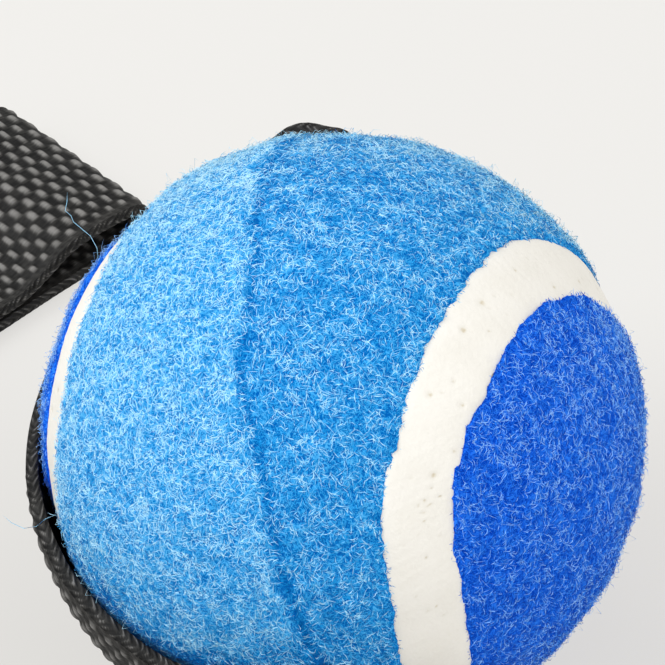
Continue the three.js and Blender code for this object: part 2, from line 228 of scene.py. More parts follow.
# The joint of the core shows as a ridge: the felt swells on one side of the plane and dips on the other
ridge = {
    "swell": 0.35, "swellAt": -1.2, "swellWidth": 1.2, "shelf": 0.12, "shelfSlope": 4.0, "dip": 0.5,
    "place": 0.3, "steep": 0.2, "gentle": 0.45, "bends": [(0.35, 19, 6), (0.12, 3, 8)],
    "brushedAt": -0.1, "brushedSlope": 6.0, "seed": 31,
}


# Millimetres to the right of the joint's plane, which wanders in long bends and short ones
def acrossRidge(ways):
    bends = np.zeros(len(ways))
    for k, (size, length, count) in enumerate(ridge["bends"]):
        bends += size * waves(ways * napRadius, length, count, ridge["seed"] + k)
    return (ways @ ballAxes)[:, 0] * napRadius + bends


# One in the crease beside the ridge, with a steep left side and a gentle right one. It also weighs the
# painted shade that darkens felt and nap in the crease.
def inCrease(ways):
    away = acrossRidge(ways) - ridge["place"]
    return np.exp(-(away / np.where(away < 0, ridge["steep"], ridge["gentle"])) ** 2)


# A rounded swell and a low shelf on the left, less the crease
def ridgeHeight(ways):
    across = acrossRidge(ways)
    swell = ridge["swell"] * np.exp(-((across - ridge["swellAt"]) / ridge["swellWidth"]) ** 2)
    shelf = ridge["shelf"] / (1 + np.exp(np.clip(across * ridge["shelfSlope"], -40, 40)))
    return swell - ridge["dip"] * inCrease(ways) + shelf


# The nap is brushed up and paler on the left of the ridge, and flat in its crease. Part of this paleness is
# painted sheen on the left side, where the key light falls.
def brushedAndSheen(ways):
    across = acrossRidge(ways) - ridge["brushedAt"]
    return 1 / (1 + np.exp(np.clip(across * ridge["brushedSlope"], -40, 40)))


# Materials
def newMaterial(name, roughness):
    material = bpy.data.materials.new(name)
    material.use_nodes = True
    shader = material.node_tree.nodes["Principled BSDF"]
    shader.inputs["Roughness"].default_value = roughness
    return material, material.node_tree, shader


# Inputs of a node: a link where another node's output is given, a fixed value elsewhere
def fill(tree, node, inputs):
    for key, value in inputs.items():
        if isinstance(value, bpy.types.NodeSocket):
            tree.links.new(value, node.inputs[key])
        else:
            node.inputs[key].default_value = value


def newNode(tree, kind, inputs):
    node = tree.nodes.new("ShaderNode" + kind)
    fill(tree, node, inputs)
    return node


def ramped(tree, value, stops):
    ramp = newNode(tree, "ValToRGB", {"Fac": value})
    points = ramp.color_ramp.elements
    for point, (place, colour) in ((points[0], stops[0]), (points[1], stops[-1])):
        point.position = place
        point.color = (*colour, 1)
    for place, colour in stops[1:-1]:
        points.new(place).color = (*colour, 1)
    return ramp.outputs["Color"]


# Thin curled lines: the ridges of a noise, kept near their crests
def curledLines(tree, place, scale):
    noise = newNode(tree, "TexNoise", {"Vector": place, "Scale": scale, "Detail": 0, "Distortion": 0.6})
    noise.noise_type = "RIDGED_MULTIFRACTAL"
    fill(tree, noise, {"Offset": 1.0})
    crest = newNode(tree, "MapRange", {"Value": noise.outputs["Fac"], "From Min": 0.72, "From Max": 1.0})
    return crest.outputs["Result"]


def joined(tree, first, second, operation="ADD"):
    node = newNode(tree, "Math", {0: first, 1: second})
    node.operation = operation
    return node.outputs[0]


# The value, raised where the pattern is over a half and lowered where it is under
def varied(tree, value, pattern, strength):
    signed = joined(tree, pattern, 0.5, "SUBTRACT")
    return joined(tree, value, joined(tree, signed, strength, "MULTIPLY"))


def attributeOf(tree, name):
    reader = newNode(tree, "Attribute", {})
    reader.attribute_name = name
    return reader.outputs


# A material coloured by the tone attribute. Curled lines, filaments along the yarn attribute or a fine
# grain can vary the tone, and then also roughen the surface.
def attributeMaterial(name, stops, roughness, specular, sheen=0.0, curls=0.0, filaments=0.0, grain=0.0):
    material, tree, shader = newMaterial(name, roughness)
    value = attributeOf(tree, "tone")["Fac"]
    pattern = None
    if curls or grain:
        place = newNode(tree, "TexCoord", {}).outputs["Object"]
    if curls:
        layers = [curledLines(tree, place, scale) for scale in (1300, 2100, 2900)]
        pattern = joined(tree, layers[0], layers[1], "MAXIMUM")
        pattern = joined(tree, pattern, layers[2], "MAXIMUM")
        value = joined(tree, value, joined(tree, pattern, curls, "MULTIPLY"))
    if filaments:
        yarn = attributeOf(tree, "yarn")["Vector"]
        pattern = newNode(tree, "TexNoise", {"Vector": yarn, "Scale": 1.0, "Detail": 1}).outputs["Fac"]
        value = varied(tree, value, pattern, filaments)
    if grain:
        pattern = newNode(tree, "TexNoise", {"Vector": place, "Scale": 2600, "Detail": 2}).outputs["Fac"]
        value = varied(tree, value, pattern, grain)
    if pattern is not None:
        bump = newNode(tree, "Bump", {"Height": pattern, "Strength": 0.5, "Distance": 0.0001})
        fill(tree, shader, {"Normal": bump.outputs["Normal"]})
    fill(tree, shader, {
        "Base Color": ramped(tree, value, stops), "Specular IOR Level": specular,
        "Sheen Weight": sheen, "Sheen Roughness": 0.5, "Sheen Tint": (*stops[-1][1], 1)})
    return material


lightStops = [(0.0, (0.001, 0.098, 0.390)), (0.35, (0.008, 0.260, 0.660)), (0.7, (0.115, 0.475, 0.850)),
              (1.0, (0.450, 0.770, 0.970))]
royalStops = [(0.0, (0.001, 0.040, 0.410)), (0.35, (0.007, 0.108, 0.700)), (0.7, (0.037, 0.245, 0.890)),
              (1.0, (0.280, 0.530, 1.000))]
lightFelt = attributeMaterial("lightFelt", lightStops, 0.9, 0.0, curls=0.5)
royalFelt = attributeMaterial("royalFelt", royalStops, 0.9, 0.0, curls=0.5)
lightFibre = attributeMaterial("lightFibre", lightStops, 0.7, 0.0, sheen=0.12)
royalFibre = attributeMaterial("royalFibre", royalStops, 0.7, 0.0, sheen=0.12)
seamStops = [(0.0, (0.400, 0.330, 0.200)), (0.35, (0.600, 0.550, 0.450)), (0.6, (0.690, 0.670, 0.615)),
             (1.0, (0.740, 0.722, 0.677))]
seamRubber = attributeMaterial("seamRubber", seamStops, 0.8, 0.15, grain=0.25)
webbingStops = [(0.0, (0.004, 0.004, 0.004)), (0.4, (0.034, 0.033, 0.031)), (1.0, (0.205, 0.200, 0.192))]
webbingMaterial = attributeMaterial("webbing", webbingStops, 0.6, 0.2, filaments=0.6)
threadStops = [(0.0, (0.020, 0.020, 0.021)), (1.0, (0.060, 0.059, 0.058))]
threadMaterial = attributeMaterial("thread", threadStops, 0.45, 0.5)
coreMaterial, tree, shader = newMaterial("coreRubber", 0.7)
shader.inputs["Base Color"].default_value = (0.16, 0.12, 0.09, 1)

# Felt base: each panel is a sheet between two parallels of the seam, with rounded cut edges
panels = {
    "light": {"tip": -math.pi / 4, "side": 1, "seed": 11, "material": lightFelt, "fibre": lightFibre,
              "slot": "light_felt", "node": "felt_panel_light"},
    "royal": {"tip": math.pi / 4, "side": -1, "seed": 12, "material": royalFelt, "fibre": royalFibre,
              "slot": "royal_felt", "node": "felt_panel_royal"},
}
feltLook = {
    "rows": 300, "cols": 80, "poleGap": 0.012, "edge": 3.55, "ragged": 0.17, "roll": 0.55,
    "drop": 0.5, "hills": 0.096, "tufts": 0.07, "skirt": 29.6, "strapMargin": 0.35,
    "slitWidth": 1.15, "slitHalf": 13.0, "slitBeyond": 20.0, "slitDepth": 3.0,
}
# Felt tone terms. The low base tone is painted shade between the fibres; slit, crease and strap are painted
# shade in the slits, in the ridge's crease and beside the strap; the brushed term is partly painted sheen.
feltTone = {"base": 0.02, "tufts": 0.04, "brushedAndSheen": 0.1, "slit": -0.3, "crease": -0.25, "strap": -0.6}


def tuftWaves(ways, seed):
    return waves(ways * napRadius, 2.6, 22, seed + 40)


def feltRise(ways, seed):
    hills = feltLook["hills"] * waves(ways * napRadius, 9, 14, seed)
    return hills + feltLook["tufts"] * tuftWaves(ways, seed)


# One in the two slits that the strap passes through
def slitHollow(ways):
    own = ways @ ballAxes * napRadius
    inside = np.abs(own[:, 2] + ball["chordDrop"]) < feltLook["slitHalf"]
    inside &= np.abs(own[:, 1]) > feltLook["slitBeyond"]
    return np.where(inside, np.exp(-(own[:, 0] / feltLook["slitWidth"]) ** 4), 0.0)


# Distance of a panel's cut edge from the seam's middle, near a place given in the seam's own axes
def edgeNear(points, look):
    ragged = 0.7 * waves(points, 1.1, 9, look["seed"]) + waves(points, 4.5, 9, look["seed"] + 1)
    return feltLook["edge"] + feltLook["ragged"] * ragged


def raggedEdge(t, look):
    even = seamEdge(t, np.full(len(t), look["side"] * feltLook["edge"]))
    return seamEdge(t, look["side"] * edgeNear(even * napRadius, look))


# A quarter circle: none at a panel's cut edge, one where its rolled edge ends
def rolledEdge(inward):
    share = np.clip(inward / feltLook["roll"], 0, 1)
    return np.sqrt(np.clip(1 - (1 - share) ** 2, 0, 1))


# Arcs from one cut edge of the panel to the other, raised by hills, tufts and the ridge inside the rolled
# edge, and closed by a skirt that drops into the ball
def feltPanel(name, look):
    rows, cols = feltLook["rows"], feltLook["cols"]
    u = np.linspace(feltLook["poleGap"], math.pi - feltLook["poleGap"], rows)
    first = raggedEdge(look["tip"] + u, look)
    last = raggedEdge(look["tip"] - u, look)
    angle = np.arccos(np.clip((first * last).sum(1), -1, 1))[:, None]
    share = np.concatenate([[0, 0], np.linspace(0, 1, cols - 4), [1, 1]])[None, :]
    weightA = np.sin((1 - share) * angle) / np.sin(angle)
    weightB = np.sin(share * angle) / np.sin(angle)
    ways = unit(weightA[..., None] * first[:, None] + weightB[..., None] * last[:, None]) @ seamAxes.T
    ways = ways.reshape(-1, 3)
    rounded = rolledEdge(np.abs(fromSeam(ways)) - edgeNear(ways @ seamAxes * napRadius, look))
    slit = slitHollow(ways)
    rise = feltRise(ways, look["seed"]) * rounded + ridgeHeight(ways)
    rise = np.minimum(rise, roomUnderStrap(ways) - feltLook["strapMargin"])
    radius = ball["felt"] - feltLook["drop"] * (1 - rounded) + rise - feltLook["slitDepth"] * slit
    radius = radius.reshape(rows, cols)
    radius[:, [0, -1]] = feltLook["skirt"]
    points = ways * radius.reshape(-1, 1) + ballCentre
    points[:, 2] = np.maximum(points[:, 2], 0.0)
    # Tone of the felt, with painted shade in the slits, in the crease and beside the strap
    tone = toned(feltTone["base"], feltTone, {
        "tufts": tuftWaves(ways, look["seed"]), "brushedAndSheen": brushedAndSheen(ways), "slit": slit,
        "crease": inCrease(ways), "strap": strapShade(ways)})
    faces = facingOut(points, gridFaces(rows, cols))
    piece = makeMesh(name, points, faces, look["material"], tone)
    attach(piece, "ball")
    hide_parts(look["node"])


for key, look in panels.items():
    feltPanel(key + "Felt", look)
print("felt panels")

# Seam: a pale, slightly sunk band with pits, its edges under the felt
seamLook = {
    "rows": 1150, "cols": 28, "underFelt": 1.0, "sink": 0.18, "swell": 0.04, "grain": 0.012,
    "edgeDrop": 0.5, "pits": 260, "pitSpan": 2.9, "pitSize": (0.1, 0.35), "pitDepth": 0.12,
    "tone": 0.92, "toneWaves": 0.05, "pitTone": 0.75, "seed": 5,
}


# Parallels of the seam curve side by side. Pits are bell shaped hollows, many small and a few large.
def seamBand():
    rng = np.random.default_rng(seamLook["seed"])
    rows, cols = seamLook["rows"], seamLook["cols"]
    t = np.linspace(0, 2 * np.pi, rows, endpoint=False)
    share = np.linspace(-1, 1, cols)
    offsets = share * (ball["seamWidth"] / 2 + seamLook["underFelt"])
    ways = np.stack([seamEdge(t, np.full(rows, o)) for o in offsets], 1).reshape(-1, 3) @ seamAxes.T
    points = ways * napRadius
    level = seamLook["swell"] * waves(points, 9, 12, 71) + seamLook["grain"] * waves(points, 1.1, 24, 72)
    pits, span = seamLook["pits"], seamLook["pitSpan"]
    pitAt = unit(seamEdge(rng.uniform(0, 2 * np.pi, pits), rng.uniform(-span, span, pits)) @ seamAxes.T)
    pitSize = seamLook["pitSize"][0] + seamLook["pitSize"][1] * rng.uniform(0, 1, pits) ** 5
    pit = np.zeros(len(ways))
    for way, size in zip(pitAt, pitSize):
        near = ways @ way > math.cos(2.5 * size / napRadius)
        away = np.linalg.norm(ways[near] - way, axis=1) * napRadius
        pit[near] = np.maximum(pit[near], np.exp(-(away / size) ** 2))
    edge = np.tile(np.abs(share), rows) ** 8
    radius = ball["felt"] - seamLook["sink"] + level
    radius = radius - seamLook["pitDepth"] * pit - seamLook["edgeDrop"] * edge
    tone = seamLook["tone"] + seamLook["toneWaves"] * waves(points, 5, 12, 73) - seamLook["pitTone"] * pit
    tone = np.clip(tone, 0, 1)
    placed = ways * radius[:, None] + ballCentre
    faces = gridFaces(rows, cols)
    j = np.arange(cols - 1)
    close = np.stack([(rows - 1) * cols + j, (rows - 1) * cols + j + 1, j + 1, j], 1)
    faces = facingOut(placed, np.concatenate([faces, close]))
    piece = makeMesh("seam", placed, faces, seamRubber, tone)
    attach(piece, "ball")
    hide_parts("seam_band")


seamBand()
print("seam")


# A place as the camera sees it: to the right of the ball's middle, above it and nearer than it
def inView(places):
    lean = math.radians(camera["elevation"])
    right = np.array([1, 0, 0])
    up = np.array([0, math.sin(lean), math.cos(lean)])
    near = np.array([0, -math.cos(lean), math.sin(lean)])
    return np.asarray(places) @ np.stack([right, up, near])


# One pale tuft beside the ridge
tuft = {"at": (-10.5, 26.6, 15.0), "size": 1.3}
tuftWay = unit(inView(tuft["at"]))

# Nap: a dense layer of short fibres and a thinner one of longer curled fibres.
# A fibre is a three sided spindle through three or more points, pointed at both ends.
nap = {
    "under": {"count": 160000, "stops": 3, "length": (0.5, 1.3), "thick": (0.036, 0.056), "lift": 0.40,
              "curl": 0.3, "tone": 0.24, "spread": 0.36, "strays": 0.0, "seed": 21},
    "top": {"count": 50000, "stops": 3, "length": (0.7, 1.7), "thick": (0.026, 0.042), "lift": 0.68,
            "curl": 0.45, "tone": 0.48, "spread": 0.36, "strays": 0.08, "seed": 22},
}
napLook = {
    "pieces": 5, "tried": 1.24, "share": 0.92, "patchy": 0.1, "creaseShare": 0.7,
    "bareSlit": 0.3, "overhang": 0.1, "seamFade": (0.4, 1.6), "seamLift": 0.2, "seamLength": 0.4,
    "strayLength": 1.35, "strayLift": 1.8, "strayThick": 0.7, "liftPatches": 0.2, "creaseLift": 0.4,
    "strapMargin": 0.45, "leastLift": 0.1, "arch": (0.5, 1.1), "archTurn": 0.95, "root": 0.06,
    "bend": 2.2, "floor": 0.02, "facing": 0.4,
}
# Nap tone terms. lift and ends paint shade by depth: fibres low in the nap, and each fibre towards its root,
# are darker. crease, strap and low are painted shade in the crease, beside the strap and on the ball's lower
# side; the brushed term is partly painted sheen.
napTone = {
    "lift": 0.28, "patches": 0.22, "brushedAndSheen": 0.32, "crease": -0.5, "strap": -0.8, "low": -0.24,
    "lowShadeFrom": 0.55, "lowShadeOver": 0.8, "tuft": 0.9, "ends": 0.12,
}


def fibreMesh(name, centres, radii, tone, material):
    count = len(centres)
    along = unit(centres[:, 2:] - centres[:, :-2])
    outward = unit(centres[:, 1:-1] - ballCentre)
    side = unit(np.cross(along, outward))
    top = np.cross(side, along)
    turns = np.radians([90, 210, 330])[None, None, :, None]
    ring = np.cos(turns) * side[:, :, None] + np.sin(turns) * top[:, :, None]
    ring = centres[:, 1:-1, None] + radii[:, None, None, None] * ring
    points = np.concatenate([centres[:, :1], ring.reshape(count, -1, 3), centres[:, -1:]], 1)
    each = points.shape[1]
    tail = each - 5
    faces = []
    for k in range(3):
        a, b = 1 + k, 1 + (k + 1) % 3
        faces += [[0, a, b], [a + tail, each - 1, b + tail]]
        for r in range(0, tail, 3):
            faces += [[a + r, b + r + 3, b + r], [a + r, a + r + 3, b + r + 3]]
    faces = (np.arange(count)[:, None, None] * each + np.array(faces)[None]).reshape(-1, 3)
    points = points.reshape(-1, 3)
    points[:, 2] = np.maximum(points[:, 2], napLook["floor"])
    values = np.concatenate([tone[:, :1], np.repeat(tone[:, 1:-1], 3, axis=1), tone[:, -1:]], 1).ravel()
    aside = napLook["facing"] * side[:, 0] * np.sin(np.arange(count) * 2.4)[:, None]
    facing = unit(outward[:, 0] + aside)
    return makeMesh(name, points, faces, material, values, np.repeat(facing, each, axis=0))


# Upright, or level where a direction is itself nearly upright
def guideFor(ways):
    return np.where(np.abs(ways[:, 2:3]) < 0.9, np.array([[0, 0, 1.0]]), np.array([[1.0, 0, 0]]))


# Height of the felt base under a fibre's root
def napGround(ways, far, edge, room):
    lightRise = feltRise(ways, panels["light"]["seed"])
    royalRise = feltRise(ways, panels["royal"]["seed"])
    rounded = rolledEdge(np.abs(far) - edge)
    base = np.where(far > 0, lightRise, royalRise) * rounded + ridgeHeight(ways)
    return np.minimum(base - feltLook["drop"] * (1 - rounded), room - feltLook["strapMargin"])


# A fibre leaves the felt, turns as it runs over it, arches up and comes down again
def napFibres(layer, wish):
    rng = np.random.default_rng(wish["seed"])
    ways = unit(rng.normal(size=(int(wish["count"] * napLook["tried"]), 3)))
    far = fromSeam(ways)
    own = ways @ seamAxes * napRadius
    edge = np.where(far > 0, edgeNear(own, panels["light"]), edgeNear(own, panels["royal"]))
    room = roomUnderStrap(ways)
    bare = slitHollow(ways) > napLook["bareSlit"]
    patches = waves(ways * napRadius, 1.5, 24, 91)
    share = napLook["share"] + napLook["patchy"] * patches
    share = share * (1 - napLook["creaseShare"] * inCrease(ways))
    keep = (np.abs(far) > edge - napLook["overhang"]) & ~bare & (rng.uniform(size=len(ways)) < share)
    ways, far, edge, room, patches = (values[keep] for values in (ways, far, edge, room, patches))
    count = len(ways)
    first = unit(np.cross(guideFor(ways), ways))
    second = np.cross(ways, first)
    fadeFrom, fadeOver = napLook["seamFade"]
    nearSeam = np.clip((np.abs(far) - edge + fadeFrom) / fadeOver, napLook["seamLift"], 1)
    longer = np.maximum(nearSeam, napLook["seamLength"])
    stray = rng.uniform(size=count) < wish["strays"]
    length = rng.uniform(*wish["length"], count) * longer * np.where(stray, napLook["strayLength"], 1)
    heading = rng.uniform(0, 2 * np.pi, count)
    bend = rng.normal(0, wish["curl"], count)
    crease = inCrease(ways)
    lift = wish["lift"] * rng.uniform(0.1, 1.0, count) ** 1.2 * (1 + napLook["liftPatches"] * patches)
    lift = lift * nearSeam * (1 - napLook["creaseLift"] * crease)
    lift = np.where(stray, lift * napLook["strayLift"], lift)
    lift = np.minimum(lift, np.maximum(room - napLook["strapMargin"], napLook["leastLift"]))
    arch = rng.uniform(*napLook["arch"], count)
    base = napGround(ways, far, edge, room)
    a = np.zeros(count)
    b = np.zeros(count)
    centres = np.empty((count, wish["stops"], 3))
    steps = wish["stops"] - 1
    for s in range(wish["stops"]):
        share = s / steps
        height = lift * np.sin(np.pi * np.minimum(share * arch, 1) * napLook["archTurn"])
        height = height - napLook["root"] * (1 - share)
        place = unit(ways + (a[:, None] * first + b[:, None] * second) / napRadius)
        centres[:, s] = place * (ball["felt"] + base + height)[:, None] + ballCentre
        turn = heading + bend * share * napLook["bend"]
        a = a + np.cos(turn) * length / steps
        b = b + np.sin(turn) * length / steps
    thick = rng.uniform(*wish["thick"], count) * np.where(stray, napLook["strayThick"], 1)
    # Painted shade by depth: the fibres cast no shadows, so a fibre's tone rises with its lift instead
    tone = rng.normal(wish["tone"], wish["spread"], count)
    # Painted shade on the ball's lower side, away from the lamps: the low term darkens fibres there
    low = np.clip((napTone["lowShadeFrom"] - ways[:, 2]) / napTone["lowShadeOver"], 0, 1)
    fromTuft = np.linalg.norm(ways - tuftWay, axis=1) * napRadius
    # Painted shade also darkens fibres in the crease and beside the strap; the brushed term is partly
    # painted sheen
    tone = toned(tone, napTone, {
        "lift": lift / wish["lift"], "patches": patches, "brushedAndSheen": brushedAndSheen(ways), "crease": crease,
        "strap": strapShade(ways), "low": low, "tuft": np.exp(-(fromTuft / tuft["size"]) ** 2)})
    # Painted shade along each fibre: darker at its root, paler at its tip
    alongFibre = np.linspace(-napTone["ends"], napTone["ends"], wish["stops"])
    tone = np.clip(tone[:, None] + alongFibre[None, :], 0, 1)
    pieces = napLook["pieces"]
    sector = ((np.arctan2(ways[:, 1], ways[:, 0]) / (2 * np.pi) + 0.5) * pieces).astype(int) % pieces
    for key, look in panels.items():
        ours = far * look["side"] > 0
        for part in range(pieces):
            pick = ours & (sector == part)
            name = f"{key}{layer.title()}Nap{part}"
            piece = fibreMesh(name, centres[pick], thick[pick], tone[pick], look["fibre"])
            piece.visible_shadow = False
            piece.visible_diffuse = False
            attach(piece, "ball")
    print("nap", layer, count)


for layer, wish in nap.items():
    napFibres(layer, wish)


# Loose threads that stand off the ball, each through places as the camera sees them
threads = {
    "upper": [(-26.1, 18.5, 1), (-26.2, 19.9, 1), (-26.9, 21.2, 1), (-28.0, 22.1, 1), (-28.7, 22.7, 1),
              (-29.0, 23.4, 1), (-29.6, 23.9, 1), (-29.4, 24.9, 1), (-29.4, 25.9, 1)],
    "lower": [(-29.8, -8.2, 8), (-31.2, -8.8, 9), (-32.2, -9.6, 9), (-33.5, -9.8, 9), (-34.8, -9.2, 9),
              (-35.8, -8.3, 9)],
    "tuft": [(-9.6, 25.9, 18.0), (-8.4, 26.6, 17.6), (-7.1, 27.6, 16.8)],
}
threadLine = {"tone": 0.9, "radius": 0.038}
for name, places in threads.items():
    path = inView(places) + ballCentre
    tones = np.full((1, len(path)), threadLine["tone"])
    radii = np.array([threadLine["radius"]])
    piece = fibreMesh(name + "Thread", path[None], radii, tones, lightFibre)
    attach(piece, "ball")


# Routes of the strap: a smooth curve through stations, with the width direction eased between them.
# Each stretch is a cubic whose end slopes weigh the chords nearby by the root of their lengths.
def spline(points, where):
    last = len(points) - 1
    full = np.concatenate([[2 * points[0] - points[1]], points, [2 * points[-1] - points[-2]]])
    near = np.clip(np.floor(where).astype(int), 0, last - 1)
    f = (where - near)[:, None]
    p0, p1, p2, p3 = (full[near + k] for k in range(4))
    chords = (p1 - p0, p2 - p1, p3 - p2)
    d0, d1, d2 = (np.sqrt(np.linalg.norm(chord, axis=1, keepdims=True)) for chord in chords)
    t1 = ((p1 - p0) / d0 - (p2 - p0) / (d0 + d1) + (p2 - p1) / d1) * d1
    t2 = ((p2 - p1) / d1 - (p3 - p1) / (d1 + d2) + (p3 - p2) / d2) * d1
    square = -3 * p1 + 3 * p2 - 2 * t1 - t2
    cube = 2 * p1 - 2 * p2 + t1 + t2
    return p1 + t1 * f + square * f ** 2 + cube * f ** 3


class Route:
    def __init__(self, stations):
        self.at = np.array([s[0] for s in stations], float)
        self.across = np.array([s[1] for s in stations], float)
        self.last = len(stations) - 1

    def frames(self, where):
        where = np.clip(np.asarray(where, float), 0, self.last)
        near = np.clip(np.floor(where).astype(int), 0, self.last - 1)
        ease = eased((where - near)[:, None])
        across = self.across[near] * (1 - ease) + self.across[near + 1] * ease
        small = 1e-3
        ahead = spline(self.at, np.minimum(where + small, self.last))
        behind = spline(self.at, np.maximum(where - small, 0))
        along = unit(ahead - behind)
        normal = unit(np.cross(along, across))
        width = np.cross(normal, along)
        return spline(self.at, where), along, normal, width


plyOffset = (strap["thick"] + strap["gap"]) / 2
pairHalf = strap["thick"] + strap["gap"] / 2
slitY = math.sqrt(strapRadius ** 2 - ball["chordDrop"] ** 2)


# A station on the strap's run through the ball, in the ball's own axes
def ballStation(x, y):
    return toWorld(np.array([x, y, -ball["chordDrop"]], float)), ballAxes[:, 2]


# Stations along the plan, each high enough for the leaning strap to clear the table
def planStations():
    plan = np.array(strap["plan"], float)
    stations = []
    for i, (x, y, lean) in enumerate(plan):
        way = plan[min(i + 1, len(plan) - 1), :2] - plan[max(i - 1, 0), :2]
        way = way / np.linalg.norm(way)
        outward = np.array([-way[1], way[0], 0])
        tilt = math.radians(lean)
        across = np.array([0, 0, math.cos(tilt)]) + outward * math.sin(tilt)
        height = strap["width"] / 2 * math.cos(tilt) + pairHalf * math.sin(tilt) + strap["floorClear"]
        stations.append((np.array([x, y, height]), across))
    return stations


neckStations = [ballStation(-plyOffset, -slitY - further) for further in (0, strap["neckStraight"])]
handle = Route(neckStations + planStations())
# Stations of the three bends and of the eye, and those where the handle's pieces are cut
neckBend = 3
gripBend = 5.4
tipBend = handle.last - 1
eyeFrom = neckBend + 2.9
eyeTo = neckBend + 6.7
neckCut = 2.35
gripCut = neckBend + 1.2
loopCut = tipBend - 1.3
tipCut = tipBend + 0.55


def eyeLift(where):
    inside = np.clip((where - eyeFrom) / (eyeTo - eyeFrom), 0, 1)
    return plyOffset + strap["loopHalfGap"] * np.sin(inside * np.pi) ** 2


# A webbing ribbon from rows of middles, normals and width directions. Its weave is a staggered field of
# floats: the product of a wave along and a wave across the strap, kept where positive. Its rims are half
# rounds with slanted hooks, the crests of a sine wave whose phase runs along the strap and round the rim.
weave = {
    "height": 0.34, "sink": 0.18, "gap": 0.02, "full": 0.4, "rib": 0.05, "selvedge": 0.6,
    "fade": 0.45, "rim": 0.15, "rimSteps": 16, "rimThick": 0.1, "rimOut": 0.2, "hook": 1.03,
    "slope": 3.0, "hookHeight": 0.3, "hookFull": 0.6, "yarnAlong": 0.7, "yarnAcross": 7.0,
    "yarnTwist": 1.5,
}
# Webbing tone terms. floats paints highlights on the float tops and shade in the gaps between them; rim and
# hooks paint glints on the hooks' crests and near black shade in their grooves.
weaveTone = {
    "base": 0.05, "floats": 0.95, "selvedge": 0.2, "ribs": 1.2, "rim": 0.01, "hooks": 0.85, "patches": 0.06,
}


def ribbon(name, path, phase, columns, faceHeights, cup=None):
    middle, normal, width, run = path
    run = (run + phase)[:, None]
    half = strap["width"] / 2 - weave["rim"]
    thick = strap["thick"] / 2 - weave["sink"]
    across = np.linspace(-half, half, columns)
    rim = np.linspace(0, np.pi, weave["rimSteps"])[1:-1]
    place = np.concatenate([across, half + 0 * rim, across[::-1], -half + 0 * rim])[None]
    around = np.concatenate([0 * across, rim, 0 * across + np.pi, np.pi + rim])[None]
    level = np.cos(around)
    bulge = np.sin(around)
    flat = np.abs(level) > 0.99
    field = np.cos(2 * np.pi * run / strap["pitch"]) * np.cos(2 * np.pi * place / strap["columns"])
    field = np.where(level > 0, field, -field)
    body = np.clip((half - weave["selvedge"] - np.abs(place)) / weave["fade"], 0, 1)
    floats = np.clip((field - weave["gap"]) / (1 - weave["gap"]), 0, 1) ** weave["full"] * body
    ribs = (1 - body) * weave["rib"] * np.cos(4 * np.pi * run / strap["pitch"] + 3 * np.abs(place))
    face = floats * np.where(level > 0, *faceHeights)
    lift = level * np.where(flat, thick + weave["height"] * face + ribs, thick + weave["rimThick"])
    uneven = 0.5 * np.sin(run * 2.1) + 0.4 * np.sin(run * 0.83 + 1)
    slant = np.pi * run / weave["hook"] + uneven + weave["slope"] * np.abs(around % np.pi - np.pi / 2)
    hooks = np.abs(np.sin(slant)) ** weave["hookFull"]
    # Painted glints: the strength of each hook's painted highlight varies along the rim
    glints = 0.65 + 0.35 * np.sin(run * 1.7 + around * 4)
    out = place + bulge * (weave["rimOut"] + weave["hookHeight"] * hooks)
    # Painted highlight and shade on the faces: pale float tops, dark gaps between them
    faceToneWithHighlights = toned(weaveTone["base"], weaveTone, {"floats": face, "selvedge": 1 - body, "ribs": ribs})
    # Painted glints on the rims' hook crests and painted shade in their grooves
    rimGlintsAndShade = weaveTone["rim"] + weaveTone["hooks"] * hooks ** 9 * glints
    tone = np.where(flat, faceToneWithHighlights, rimGlintsAndShade)
    # Both ends close on a last row in the strap's middle layer
    lift = np.concatenate([0 * lift[:1], lift, 0 * lift[:1]])
    out, tone = (np.concatenate([grid[:1], grid, grid[-1:]]) for grid in (out, tone))
    ends = np.concatenate([[0], np.arange(len(middle)), [len(middle) - 1]])
    if cup is not None:
        lift = lift + cup[ends, None] * (out / half) ** 2
    points = middle[ends, None] + normal[ends, None] * lift[..., None] + width[ends, None] * out[..., None]
    rows, cols = out.shape
    points = points.reshape(-1, 3)
    tone = np.clip(tone + weaveTone["patches"] * waves(points, 3, 12, 61).reshape(rows, cols), 0, 1)
    faces = facingOut(points, gridFaces(rows, cols, True))
    piece = makeMesh(name, points, faces, webbingMaterial, tone.ravel())
    twist = ~flat * slant[ends] * weave["yarnTwist"]
    yarn = (run[ends] * weave["yarnAlong"], out * weave["yarnAcross"] + twist, 0.3 * np.sign(level))
    yarn = np.stack(np.broadcast_arrays(*yarn), -1).astype(np.float32)
    piece.data.attributes.new("yarn", "FLOAT_VECTOR", "POINT").data.foreach_set("vector", yarn.ravel())
    return piece


def runLength(points):
    return np.concatenate([[0], np.cumsum(np.linalg.norm(np.diff(points, axis=0), axis=1))])


# Even rows along a route between two stations
def evenRows(route, start, end, step, lift=np.zeros_like):
    fine = np.linspace(start, end, 1500)
    at, along, normal, width = route.frames(fine)
    length = runLength(at + normal * lift(fine)[:, None])
    count = max(int(length[-1] / step), 4)
    where = np.interp(np.linspace(0, length[-1], count), length, fine)
    at, along, normal, width = route.frames(where)
    return at + normal * lift(where)[:, None], normal, width, np.linspace(0, length[-1], count)


def handleAlong(where):
    fine = np.linspace(0, handle.last, 4000)
    return np.interp(where, fine, runLength(handle.frames(fine)[0]))


# Stations beside the handle's middle line, at a distance along its normal
def besideHandle(where, lift):
    at, along, normal, width = handle.frames(where)
    return list(zip(at + normal * lift, width))


# The routes of both plies on the ball go on past the neck's cut, and their rows end just after it
neckPast = 2.8
afterCut = 0.95

